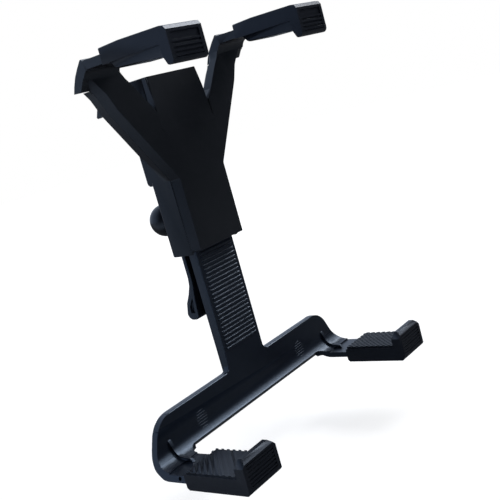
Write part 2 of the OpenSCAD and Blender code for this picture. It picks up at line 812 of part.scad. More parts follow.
// Rubber grip on an upper finger: smooth sleeve, stepped pad, lip with a framed front, ribbed below
module upper_grip() {
    top = upper_grip_top;
    lip_bottom = top - upper_lip_h;
    x0 = upper_mid - upper_w / 2 - 0.1;
    x1 = upper_mid + upper_w / 2 + 0.1;
    under = upper_top - upper_t - 0.4;
    pad_bottom = under - 3.4;
    front = upper_front_y;
    toe_r = 2.2;
    panel_bottom = lip_bottom + 2;
    panel_top = top - 3.8;
    panel_ribs = 4;
    panel_pitch = 1.9;
    color(rubber_col)
        difference() {
            union() {
                along_x(x0, x1)
                    polygon(concat(
                        [[-grip_back, under], [-grip_back, top - 0.4], [-grip_back - 12, top]],
                        [[front + 3, top - 0.6], [front + 0.9, top - 1.1], [front, top - 2.6]],
                        arc(front + toe_r, lip_bottom + toe_r, toe_r, 180, 310, 8),
                        [[front + 5, lip_bottom + 3.4], [front + 5.4, under]]
                    ));
                // narrower stepped pad
                along_x(x0 + 1, x1 - 1)
                    polygon([
                        [-grip_back - 3, under + 0.5], [front + 3, under + 0.5],
                        [front + 3, pad_bottom - 1.2], [-grip_back - 6, pad_bottom]
                    ]);
            }
            // pocket for the finger
            translate([
                upper_in + grip_wall - grip_gap, upper_front_y + 4 - grip_gap, upper_top - upper_t - grip_gap
            ])
                cube([upper_w - 2 * grip_wall + 2 * grip_gap, upper_grip_l, upper_t + 2 * grip_gap]);
            // panel sunk into the front of the lip
            translate([x0 + 2.2, front - 1, panel_bottom])
                cube([x1 - x0 - 4.4, 1.6, panel_top - panel_bottom]);
        }
    // ridges across the lower half of the panel
    color(rubber_col)
        for (k = [0:panel_ribs - 1])
            translate([x0 + 2.2 - eps, front + 0.05, panel_bottom + 0.5 + k * panel_pitch])
                cube([x1 - x0 - 4.4 + 2 * eps, 0.7, 0.5 * panel_pitch]);
}

front_yoke();
rear_housing();
ball_stud();
stud_insert();
stud_screw();
housing_screw(0);  // housing_screw_1
housing_screw(1);  // housing_screw_2
housing_screw(2);  // housing_screw_3
housing_screw(3);  // housing_screw_4
release_lever();
lever_pin();
lever_spring();  // lever_spring_1
mirror([1, 0, 0]) lever_spring();  // lever_spring_2
mirror([1, 0, 0]) upper_grip();  // upper_left_grip
upper_grip();  // upper_right_grip
t_slider();
stop_screw(1);  // stop_screw_1
stop_screw(-1);  // stop_screw_2
mirror([1, 0, 0]) lower_grip();  // lower_left_grip
lower_grip();  // lower_right_grip
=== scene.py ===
"""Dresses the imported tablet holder: moulded shells, ribbed carriage, rubber grips and steel hardware.

All lengths are in metres in the row frame: the origin is the centre of the mounting ball, +X runs to the
right as the tablet's user sees it, +Y back to the car's mount and +Z up along the stem.
"""
import json
import logging
import math
from dataclasses import dataclass, field
from enum import Enum

import bmesh
import bpy
from mathutils import Matrix, Vector
from mathutils.bvhtree import BVHTree
from mathutils.kdtree import KDTree

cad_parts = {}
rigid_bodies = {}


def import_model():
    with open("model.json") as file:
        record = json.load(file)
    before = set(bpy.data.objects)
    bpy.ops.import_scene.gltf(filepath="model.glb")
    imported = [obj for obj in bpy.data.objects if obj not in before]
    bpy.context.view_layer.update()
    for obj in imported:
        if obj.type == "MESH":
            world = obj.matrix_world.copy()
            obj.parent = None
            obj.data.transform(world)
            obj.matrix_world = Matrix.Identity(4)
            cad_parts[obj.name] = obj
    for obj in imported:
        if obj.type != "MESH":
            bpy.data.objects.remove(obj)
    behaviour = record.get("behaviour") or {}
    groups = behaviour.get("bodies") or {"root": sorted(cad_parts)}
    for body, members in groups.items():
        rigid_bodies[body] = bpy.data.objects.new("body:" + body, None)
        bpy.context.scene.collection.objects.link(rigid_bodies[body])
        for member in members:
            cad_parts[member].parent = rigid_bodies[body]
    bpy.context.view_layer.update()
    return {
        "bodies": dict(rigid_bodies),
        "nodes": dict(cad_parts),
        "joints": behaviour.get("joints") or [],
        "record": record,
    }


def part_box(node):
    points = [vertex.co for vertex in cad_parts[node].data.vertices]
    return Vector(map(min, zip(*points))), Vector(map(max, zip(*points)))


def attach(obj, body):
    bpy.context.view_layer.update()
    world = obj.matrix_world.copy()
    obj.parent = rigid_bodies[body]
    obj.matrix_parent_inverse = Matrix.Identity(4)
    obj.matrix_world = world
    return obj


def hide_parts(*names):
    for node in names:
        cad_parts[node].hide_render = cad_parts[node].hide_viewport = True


LOG = logging.getLogger("tablet_holder")
MM = 0.001
DUST_COLOUR = (0.05, 0.05, 0.052)


class Blend(Enum):
    """What a Mix node blends, with the number of its first input and of its output."""

    COLOUR = ("RGBA", 6, 2)
    NUMBER = ("FLOAT", 2, 0)


def add_node(tree: bpy.types.NodeTree, kind: str, **settings: object) -> bpy.types.Node:
    """Adds a node and sets its properties.

    Args:
        tree: The node tree that gets the node.
        kind: Blender's name of the node type.
        settings: Properties of the node by name.

    Returns:
        The new node.
    """
    node = tree.nodes.new(kind)
    for name, value in settings.items():
        setattr(node, name, value)
    return node


def new_group(name: str, inputs: dict[str, float], outputs: tuple[str, ...]) -> bpy.types.ShaderNodeTree:
    """Builds an empty shader node group.

    Args:
        name: The group's name.
        inputs: The default of each number that goes in, by name.
        outputs: The names of the numbers that come out.

    Returns:
        The group's tree.
    """
    tree = bpy.data.node_groups.new(name, "ShaderNodeTree")
    for label, default in inputs.items():
        socket = tree.interface.new_socket(name=label, in_out="INPUT", socket_type="NodeSocketFloat")
        socket.default_value = default
    for label in outputs:
        tree.interface.new_socket(name=label, in_out="OUTPUT", socket_type="NodeSocketFloat")
    return tree


def noise(tree: bpy.types.NodeTree, detail: float, rough: float = 0.5) -> bpy.types.Node:
    """Adds a noise texture on Object coordinates.

    Args:
        tree: The node tree that gets the texture.
        detail: How many finer layers it has.
        rough: How strong the finer layers are.

    Returns:
        The noise node.
    """
    made = add_node(tree, "ShaderNodeTexNoise")
    made.inputs["Detail"].default_value = detail
    made.inputs["Roughness"].default_value = rough
    place = add_node(tree, "ShaderNodeTexCoord")
    tree.links.new(place.outputs["Object"], made.inputs["Vector"])
    return made


def ramp(tree: bpy.types.NodeTree, low: float, high: float) -> bpy.types.Node:
    """Adds a smooth, clamped map from a range onto 0 to 1.

    Args:
        tree: The node tree that gets the map.
        low: The value that becomes 0.
        high: The value that becomes 1.

    Returns:
        The Map Range node.
    """
    made = add_node(tree, "ShaderNodeMapRange", interpolation_type="SMOOTHSTEP")
    made.inputs["From Min"].default_value = low
    made.inputs["From Max"].default_value = high
    return made


def maths(tree: bpy.types.NodeTree, kind: str, *values: object) -> bpy.types.NodeSocket:
    """Adds a math node.

    Args:
        tree: The node tree that gets the node.
        kind: Blender's name of the operation.
        values: A socket or a number for each input.

    Returns:
        The node's output.
    """
    made = add_node(tree, "ShaderNodeMath", operation=kind)
    for index, value in enumerate(values):
        if isinstance(value, bpy.types.NodeSocket):
            tree.links.new(value, made.inputs[index])
        else:
            made.inputs[index].default_value = value
    return made.outputs[0]


class MouldGrain:
    """A moulded surface's fine grain on the slow waves that cooling leaves, as one node group."""

    NAME = "mould_grain"
    MOTTLE_EDGE = (0.3, 0.7)

    @classmethod
    def tree(cls) -> bpy.types.ShaderNodeTree:
        """Builds the group, once.

        Returns:
            The group's tree.
        """
        found = bpy.data.node_groups.get(cls.NAME)
        if found:
            return found
        values = {"Grain Scale": 7000.0, "Wave Scale": 70.0, "Wave Share": 0.3}
        tree = new_group(cls.NAME, values, ("Height", "Mottle"))
        given, out = add_node(tree, "NodeGroupInput"), add_node(tree, "NodeGroupOutput")
        fine, wave = noise(tree, 2.0), noise(tree, 1.5)
        link = tree.links.new
        link(given.outputs["Grain Scale"], fine.inputs["Scale"])
        link(given.outputs["Wave Scale"], wave.inputs["Scale"])
        slow = maths(tree, "MULTIPLY", wave.outputs["Fac"], given.outputs["Wave Share"])
        rest = maths(tree, "SUBTRACT", 1.0, given.outputs["Wave Share"])
        quick = maths(tree, "MULTIPLY", fine.outputs["Fac"], rest)
        link(maths(tree, "ADD", slow, quick), out.inputs["Height"])
        soft = ramp(tree, *cls.MOTTLE_EDGE)
        link(wave.outputs["Fac"], soft.inputs["Value"])
        link(soft.outputs["Result"], out.inputs["Mottle"])
        return tree


class Wear:
    """Edges that hands have polished, fine scuffs on the faces and dust in the corners, as one node group."""

    NAME = "handling_wear"
    PATCH_SCALE, PATCH_EDGE = 260.0, (0.32, 0.6)
    SPECK_SCALE, SPECK_EDGE = 1500.0, (0.45, 0.7)
    MARK_EDGE = (0.55, 0.72)

    @classmethod
    def tree(cls) -> bpy.types.ShaderNodeTree:
        """Builds the group, once.

        Returns:
            The group's tree.
        """
        found = bpy.data.node_groups.get(cls.NAME)
        if found:
            return found
        values = {"Edge": 0.0, "Corner": 0.0, "Scuff Scale": 380.0, "Scuff Amount": 0.5}
        tree = new_group(cls.NAME, values, ("Polish", "Scuff", "Dust"))
        given, out = add_node(tree, "NodeGroupInput"), add_node(tree, "NodeGroupOutput")
        link = tree.links.new
        broken = noise(tree, 4.0, 0.65)
        broken.inputs["Scale"].default_value = cls.PATCH_SCALE
        patchy = ramp(tree, *cls.PATCH_EDGE)
        link(broken.outputs["Fac"], patchy.inputs["Value"])
        polish = maths(tree, "MULTIPLY", given.outputs["Edge"], patchy.outputs["Result"])
        link(polish, out.inputs["Polish"])
        rubs = noise(tree, 6.0, 0.75)
        link(given.outputs["Scuff Scale"], rubs.inputs["Scale"])
        marks = ramp(tree, *cls.MARK_EDGE)
        link(rubs.outputs["Fac"], marks.inputs["Value"])
        scuff = maths(tree, "MULTIPLY", marks.outputs["Result"], given.outputs["Scuff Amount"])
        link(scuff, out.inputs["Scuff"])
        specks = noise(tree, 3.0, 0.6)
        specks.inputs["Scale"].default_value = cls.SPECK_SCALE
        grains = ramp(tree, *cls.SPECK_EDGE)
        link(specks.outputs["Fac"], grains.inputs["Value"])
        dust = maths(tree, "MULTIPLY", given.outputs["Corner"], grains.outputs["Result"])
        link(dust, out.inputs["Dust"])
        return tree


@dataclass(frozen=True)
class Finish:
    """A finish: its colour, its gloss, its grain and how it wears.

    Attributes:
        name: The material's name.
        colour: Linear base colour.
        deep: Linear colour in the hollows of the slow waves.
        worn: Linear colour of polished edges and scuffs.
        roughness: Roughness of the clean surface.
        worn_roughness: Roughness of the scuffs.
        polished_roughness: Roughness of the polished edges.
        grain_scale: Noise scale of the grain, per metre.
        grain_depth: Depth of the grain in metres.
        scuffs: How strongly the faces are scuffed, from 0 to 1.
        metallic: 1 for bare metal.
        specular: Specular level of the shader.
        gloss_tint: Tint of the surface's reflections.
    """

    name: str
    colour: tuple[float, float, float]
    deep: tuple[float, float, float]
    worn: tuple[float, float, float]
    roughness: float
    worn_roughness: float
    polished_roughness: float
    grain_scale: float
    grain_depth: float
    scuffs: float = 0.5
    metallic: float = 0.0
    specular: float = 0.5
    gloss_tint: tuple[float, float, float] = (1.0, 1.0, 1.0)

    def material(self) -> bpy.types.Material:
        """Builds the finish's material, once.

        Returns:
            The material.
        """
        found = bpy.data.materials.get(self.name)
        if found:
            return found
        made = bpy.data.materials.new(self.name)
        made.use_nodes = True
        made.diffuse_color = (*self.colour, 1.0)
        tree = made.node_tree
        link = tree.links.new
        shader = tree.nodes["Principled BSDF"]
        shader.inputs["Metallic"].default_value = self.metallic
        shader.inputs["Specular IOR Level"].default_value = self.specular
        shader.inputs["Specular Tint"].default_value = (*self.gloss_tint, 1.0)
        grain = add_node(tree, "ShaderNodeGroup", node_tree=MouldGrain.tree())
        grain.inputs["Grain Scale"].default_value = self.grain_scale
        wear = add_node(tree, "ShaderNodeGroup", node_tree=Wear.tree())
        wear.inputs["Scuff Amount"].default_value = self.scuffs
        for attribute in ("Edge", "Corner"):
            read = add_node(tree, "ShaderNodeAttribute", attribute_name=attribute.lower())
            link(read.outputs["Fac"], wear.inputs[attribute])
        colour = self.blend(tree, Blend.COLOUR, grain.outputs["Mottle"], self.colour, self.deep)
        rough = self.blend(tree, Blend.NUMBER, wear.outputs["Scuff"], self.roughness, self.worn_roughness)
        for mask, tint in (("Scuff", self.worn), ("Polish", self.worn), ("Dust", DUST_COLOUR)):
            colour = self.blend(tree, Blend.COLOUR, wear.outputs[mask], colour, tint)
        rough = self.blend(tree, Blend.NUMBER, wear.outputs["Polish"], rough, self.polished_roughness)
        link(colour, shader.inputs["Base Color"])
        link(rough, shader.inputs["Roughness"])
        bump = add_node(tree, "ShaderNodeBump")
        bump.inputs["Distance"].default_value = self.grain_depth
        link(grain.outputs["Height"], bump.inputs["Height"])
        link(bump.outputs["Normal"], shader.inputs["Normal"])
        return made

    def blend(
        self, tree: bpy.types.NodeTree, kind: Blend, mask: bpy.types.NodeSocket, under: object, over: object
    ) -> bpy.types.NodeSocket:
        """Mixes two colours or numbers by a mask.

        Args:
            tree: The material's tree.
            kind: What is blended.
            mask: 0 shows what is under, 1 what is over.
            under: A socket, colour or number.
            over: A socket, colour or number.

        Returns:
            The mixed output.
        """
        data_type, first, result = kind.value
        mix = add_node(tree, "ShaderNodeMix", data_type=data_type)
        tree.links.new(mask, mix.inputs[0])
        for index, value in ((first, under), (first + 1, over)):
            if isinstance(value, bpy.types.NodeSocket):
                tree.links.new(value, mix.inputs[index])
            else:
                mix.inputs[index].default_value = (*value, 1.0) if kind is Blend.COLOUR else value
        return mix.outputs[result]


SATIN_SHELL = Finish(
    "satin_black_shell", (0.0085, 0.009, 0.0108), (0.0072, 0.0077, 0.0094), (0.0135, 0.0145, 0.017),
    0.31, 0.39, 0.26, 7000.0, 0.000004, 0.5, specular=0.42, gloss_tint=(0.62, 0.77, 1.0)
)
GLOSS_CARRIAGE = Finish(
    "gloss_black_carriage", (0.0042, 0.0056, 0.0105), (0.0034, 0.0047, 0.009), (0.0085, 0.0102, 0.0155),
    0.33, 0.4, 0.25, 5000.0, 0.000003, 0.35, specular=0.55, gloss_tint=(0.52, 0.71, 1.0)
)
MATTE_RUBBER = Finish(
    "matte_rubber_grip", (0.005, 0.006, 0.0095), (0.0041, 0.005, 0.0082), (0.0095, 0.0108, 0.0145),
    0.35, 0.45, 0.29, 4200.0, 0.000006, 0.6, specular=0.36, gloss_tint=(0.6, 0.75, 1.0)
)
ZINC_STEEL = Finish(
    "zinc_plated_steel", (0.5, 0.5, 0.51), (0.43, 0.43, 0.45), (0.36, 0.36, 0.37),
    0.3, 0.5, 0.22, 6000.0, 0.00001, 0.7, metallic=1.0
)
PLAIN_BRASS = Finish(
    "plain_brass", (0.62, 0.42, 0.16), (0.55, 0.36, 0.13), (0.45, 0.3, 0.12),
    0.34, 0.5, 0.26, 6000.0, 0.00001, 0.6, metallic=1.0
)


@dataclass(frozen=True)
class WideEdges:
    """The front edges along the yoke's outline: the wall behind them leans in, and they have a larger radius.

    Attributes:
        plane: The front face's place on Y.
        inner: Their least distance from the centre plane.
        top: Their highest place.
        radius: Their radius.
        lean: How far the wall leans in, up to the front face.
        share: The largest share of a neighbouring edge's length that the radius takes.
        slack: How far from the front plane a corner may lie.
        outward: How much an outer wall faces away from the centre plane, at least.
    """

    plane: float
    inner: float
    top: float
    radius: float
    lean: float
    share: float = 0.5
    slack: float = 0.2 * MM
    outward: float = 0.3

    def holds(self, edge: bmesh.types.BMEdge) -> bool:
        """Says whether an edge is one of them.

        Args:
            edge: An edge of the yoke.

        Returns:
            True for an edge between the front face and an outer wall.
        """
        for vert in edge.verts:
            behind = abs(vert.co.y - self.plane) > self.slack
            if behind or abs(vert.co.x) < self.inner or vert.co.z > self.top:
                return False
        side = math.copysign(1.0, edge.verts[0].co.x)
        return any(face.normal.x * side > self.outward for face in edge.link_faces)

    def lean_in(self, form: bmesh.types.BMesh) -> None:
        """Moves the front outline's corners inwards, so that the wall behind them leans.

        Args:
            form: The yoke's merged mesh.
        """
        walls: dict[bmesh.types.BMVert, list[Vector]] = {}
        for edge in form.edges:
            if self.holds(edge):
                wall = max(edge.link_faces, key=lambda face: abs(face.normal.x)).normal
                for vert in edge.verts:
                    walls.setdefault(vert, []).append(Vector((wall.x, 0.0, wall.z)).normalized())
        for vert, normals in walls.items():
            if len(normals) == 2:
                vert.co -= (normals[0] + normals[1]) * (self.lean / (1.0 + normals[0].dot(normals[1])))
            elif vert.co.z < 0.0:
                vert.co -= normals[0] * self.lean
        form.normal_update()


@dataclass
class RoundedCopy:
    """A copy of a CAD node whose sharp edges are rounded as a mould rounds them.

    Attributes:
        radius: The edge radius, in metres.
        wide: Edges with a larger radius.
        angle: The smallest turn of an edge that is rounded, in degrees.
        share: The largest share of a neighbouring edge's length that a radius takes.
        attempts: How often the bevel is tried, with smaller radii at the corners where it folds.
        last_attempts: In the last tries, the corners where it folds stay sharp.
        crease: Level edges that turn by this many degrees are creases between flat faces and stay sharp.
        flat: Faces that turn by less than this, in degrees, become one.
        aside: An edge at less than this angle to its neighbour, in degrees, takes no room from it.
        segments: Number of facets across a radius.
        stray: A bevel that leaves the surface by more than this share of the largest radius is at fault.
        agree: So is a facet whose normal agrees with the surface's by less than this.
        full_wear: A point this share of the radius off the sharp form counts wholly as edge or corner.
        level: An edge with more than this share of its length along X is level.
        even_weight: How strongly large faces rule the shading.
        least_radius: A smaller radius is left out.
        merge: Corners closer than this become one.
        least_length: A shorter neighbouring edge takes no room.
        least_area: Smaller triangles aren't tested.
    """

    radius: float
    wide: WideEdges | None = None
    angle: float = 28.0
    share: float = 0.4
    attempts: int = 10
    last_attempts: int = 4
    crease: tuple[float, float] = (0.7, 4.5)
    flat: float = 0.6
    aside: float = 25.0
    segments: int = 3
    stray: float = 0.45
    agree: float = 0.1
    full_wear: float = 0.1
    level: float = 0.9
    even_weight: int = 60
    least_radius: float = 0.05 * MM
    merge: float = 1e-6
    least_length: float = 1e-9
    least_area: float = 1e-10

    @property
    def largest(self) -> float:
        """The largest radius."""
        return max(self.radius, self.wide.radius if self.wide else 0.0)

    def room(self, edge: bmesh.types.BMEdge) -> float:
        """Works out the radius that the faces beside an edge leave room for.

        Args:
            edge: An edge of the sharp form.

        Returns:
            The radius in metres.
        """
        wide = self.wide if self.wide and self.wide.holds(edge) else None
        least = wide.radius if wide else self.radius
        share = wide.share if wide else self.share
        same_way = math.cos(math.radians(self.aside))
        along = (edge.verts[1].co - edge.verts[0].co).normalized()
        for loop in edge.link_loops:
            for beside in (loop.link_loop_prev, loop.link_loop_next):
                run = beside.edge.verts[1].co - beside.edge.verts[0].co
                length = run.length
                if length < self.least_length or abs(run.dot(along)) / length > same_way:
                    continue
                least = min(least, share * length)
        return least

    def weights(self, form: bmesh.types.BMesh, held: dict[int, float]) -> None:
        """Writes each edge's bevel weight.

        Args:
            form: The merged mesh.
            held: The share that each vertex in trouble still gets, by its index.
        """
        name = "bevel_weight_edge"
        layer = form.edges.layers.float.get(name) or form.edges.layers.float.new(name)
        limit = math.radians(self.angle)
        for edge in form.edges:
            turn = edge.calc_face_angle(0.0) if len(edge.link_faces) == 2 else 0.0
            share = min(held.get(vert.index, 1.0) for vert in edge.verts)
            width = self.room(edge) * share if turn > limit else 0.0
            edge[layer] = width / self.largest if width > self.least_radius else 0.0
            run = edge.verts[1].co - edge.verts[0].co
            level = abs(run.x) > self.level * run.length
            creased = self.crease[0] < math.degrees(turn) < self.crease[1] and level
            edge.smooth = (turn < limit or edge[layer] > 0.0) and not creased

    def bevelled(self, form: bmesh.types.BMesh, name: str) -> bpy.types.Object:
        """Builds the bevelled form.

        Args:
            form: The merged mesh with its bevel weights.
            name: The new object's name.

        Returns:
            A new object with its modifiers applied.
        """
        mesh = bpy.data.meshes.new(name)
        form.to_mesh(mesh)
        mesh.polygons.foreach_set("use_smooth", [True] * len(mesh.polygons))
        piece = bpy.data.objects.new(name, mesh)
        bpy.context.scene.collection.objects.link(piece)
        bevel = piece.modifiers.new("mould_radius", "BEVEL")
        bevel.limit_method = "WEIGHT"
        bevel.width = self.largest
        bevel.segments = self.segments
        bevel.use_clamp_overlap = False
        bevel.loop_slide = False
        bevel.miter_outer = "MITER_SHARP"
        even = piece.modifiers.new("even_normals", "WEIGHTED_NORMAL")
        even.mode = "FACE_AREA"
        even.keep_sharp = True
        even.weight = self.even_weight
        apply_modifiers(piece)
        return piece

    def faults(self, mesh: bpy.types.Mesh, surface: BVHTree, corners_tree: KDTree) -> set[int]:
        """Finds the corners where a bevel folds over or leaves the surface.

        Args:
            mesh: The bevelled mesh.
            surface: The sharp form's faces.
            corners_tree: The sharp form's corners.

        Returns:
            The indices of the sharp form's corners in trouble.
        """
        found: set[int] = set()
        mesh.calc_loop_triangles()
        for triangle in mesh.loop_triangles:
            places = [mesh.vertices[index].co for index in triangle.vertices]
            if triangle.area < self.least_area:
                continue
            middle = (places[0] + places[1] + places[2]) / 3.0
            _, normal, _, gap = surface.find_nearest(middle)
            if gap > self.stray * self.largest or normal.dot(triangle.normal) < self.agree:
                for place in places:
                    found.update(index for _, index, _ in corners_tree.find_n(place, 1))
        for vert in mesh.vertices:
            near, _, _, gap = surface.find_nearest(vert.co)
            if gap > self.stray * self.largest:
                found.update(index for _, index, _ in corners_tree.find_n(near, 2))
        return found

    def mark(self, mesh: bpy.types.Mesh, surface: BVHTree) -> None:
        """Writes where the outer edges and the inner corners are, as the attributes edge and corner.

        Args:
            mesh: The bevelled mesh, which gets the attributes.
            surface: The sharp form's faces.
        """
        edge = mesh.attributes.new("edge", "FLOAT", "POINT")
        corner = mesh.attributes.new("corner", "FLOAT", "POINT")
        for vert in mesh.vertices:
            near, normal, _, gap = surface.find_nearest(vert.co)
            amount = min(1.0, gap / (self.full_wear * self.radius))
            target = edge if (vert.co - near).dot(normal) < 0.0 else corner
            target.data[vert.index].value = amount

    def build(self, source: bpy.types.Object, name: str) -> bpy.types.Object:
        """Builds the rounded piece.

        Args:
            source: The CAD node's object, which is left as it is.
            name: The new piece's name.

        Returns:
            The rounded piece, with its bevel applied.
        """
        form = bmesh.new()
        form.from_mesh(source.data)
        bmesh.ops.remove_doubles(form, verts=form.verts, dist=self.merge)
        limit = math.radians(self.flat)
        bmesh.ops.dissolve_limit(form, angle_limit=limit, verts=form.verts, edges=form.edges)
        if self.wide:
            self.wide.lean_in(form)
        form.verts.index_update()
        surface = BVHTree.FromBMesh(form)
        corners_tree = KDTree(len(form.verts))
        for vert in form.verts:
            corners_tree.insert(vert.co, vert.index)
        corners_tree.balance()
        held: dict[int, float] = {}
        piece = None
        for attempt in range(self.attempts):
            if piece is not None:
                remove_object(piece)
            self.weights(form, held)
            piece = self.bevelled(form, name)
            troubled = self.faults(piece.data, surface, corners_tree)
            if not troubled:
                break
            for index in troubled:
                halved = 0.5 * held.get(index, 1.0)
                held[index] = halved if attempt < self.attempts - self.last_attempts else 0.0
        LOG.info("%s: %d tries, %d corners still at fault", name, attempt + 1, len(troubled))
        self.mark(piece.data, surface)
        form.free()
        return piece


def remove_object(piece: bpy.types.Object) -> None:
    """Removes an object and its mesh.

    Args:
        piece: The object.
    """
    mesh = piece.data
    bpy.data.objects.remove(piece)
    bpy.data.meshes.remove(mesh)


def apply_modifiers(piece: bpy.types.Object) -> None:
    """Turns a piece's evaluated mesh into its plain mesh and removes its modifiers.

    Args:
        piece: The object with its modifiers.
    """
    bpy.context.view_layer.update()
    graph = bpy.context.evaluated_depsgraph_get()
    made = bpy.data.meshes.new_from_object(piece.evaluated_get(graph))
    piece.modifiers.clear()
    old = piece.data
    piece.data = made
    made.name = piece.name
    bpy.data.meshes.remove(old)


@dataclass
class Holder:
    """The holder's sub-assemblies in build order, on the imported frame.

    Attributes:
        pieces: The pieces made so far.
    """

    frame: dict
    pieces: list[bpy.types.Object] = field(default_factory=list)

    def round_node(
        self, node: str, body: str, slot: str, finish: Finish, radius: float, wide: WideEdges | None = None
    ) -> None:
        """Replaces a CAD node by its rounded copy.

        Args:
            node: The CAD node's name.
            body: The body that it moves with.
            slot: The record's material slot; it is not used.
            finish: The finish it gets.
            radius: The edge radius, in metres.
            wide: Edges with a larger radius.
        """
        piece = RoundedCopy(radius, wide).build(self.frame["nodes"][node], f"{node}_moulded")
        piece.data.materials.append(finish.material())
        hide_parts(node)
        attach(piece, body)
        self.pieces.append(piece)
        LOG.info("%s: %d faces", piece.name, len(piece.data.polygons))

    def dress_node(self, node: str, finish: Finish) -> None:
        """Gives a CAD node its finish.

        Args:
            node: The CAD node's name.
            finish: The finish.
        """
        mesh = self.frame["nodes"][node].data
        mesh.materials.clear()
        mesh.materials.append(finish.material())
        LOG.info("%s: %s", node, finish.name)


@dataclass
class Bracket(Holder):
    """The fixed part: front yoke, rear housing, ball and upper grips.

    Attributes:
        shell_radius: The yoke's edge radius.
        housing_radius: The rear housing's edge radius.
        outline_radius: The radius of the yoke's front edges along its outline.
        outline_lean: How far the wall behind them leans in.
        grip_radius: The upper grips' edge radius.
        outline_inner: The outline's least distance from the centre plane, just inside the leg's sides.
        outline_drop: How far below the yoke's top the outline's large radius ends.
        finger_reach: How far the upper fingers stand in front of the yoke's face.
    """

    shell_radius: float = 0.9 * MM
    housing_radius: float = 0.6 * MM
    outline_radius: float = 2.0 * MM
    outline_lean: float = 1.5 * MM
    grip_radius: float = 2.0 * MM
    outline_inner: float = 18.3 * MM
    outline_drop: float = 6.0 * MM
    finger_reach: float = 49.1 * MM

    def build(self) -> None:
        """Builds and dresses the bracket's pieces."""
        low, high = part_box("front_yoke")
        plane = low[1] + self.finger_reach
        top = high[2] - self.outline_drop
        wide = WideEdges(plane, self.outline_inner, top, self.outline_radius, self.outline_lean)
        self.round_node("front_yoke", "bracket", "shell", SATIN_SHELL, self.shell_radius, wide)
        self.round_node("rear_housing", "bracket", "shell", SATIN_SHELL, self.housing_radius)
        for side in ("left", "right"):
            self.round_node(f"upper_{side}_grip", "bracket", "grip", MATTE_RUBBER, self.grip_radius)
        self.dress_node("ball_stud", SATIN_SHELL)
        self.dress_node("stud_insert", PLAIN_BRASS)
        for node in ("stud_screw", "lever_pin", "lever_spring_1", "lever_spring_2"):
            self.dress_node(node, ZINC_STEEL)
        for number in range(1, 5):
            self.dress_node(f"housing_screw_{number}", ZINC_STEEL)


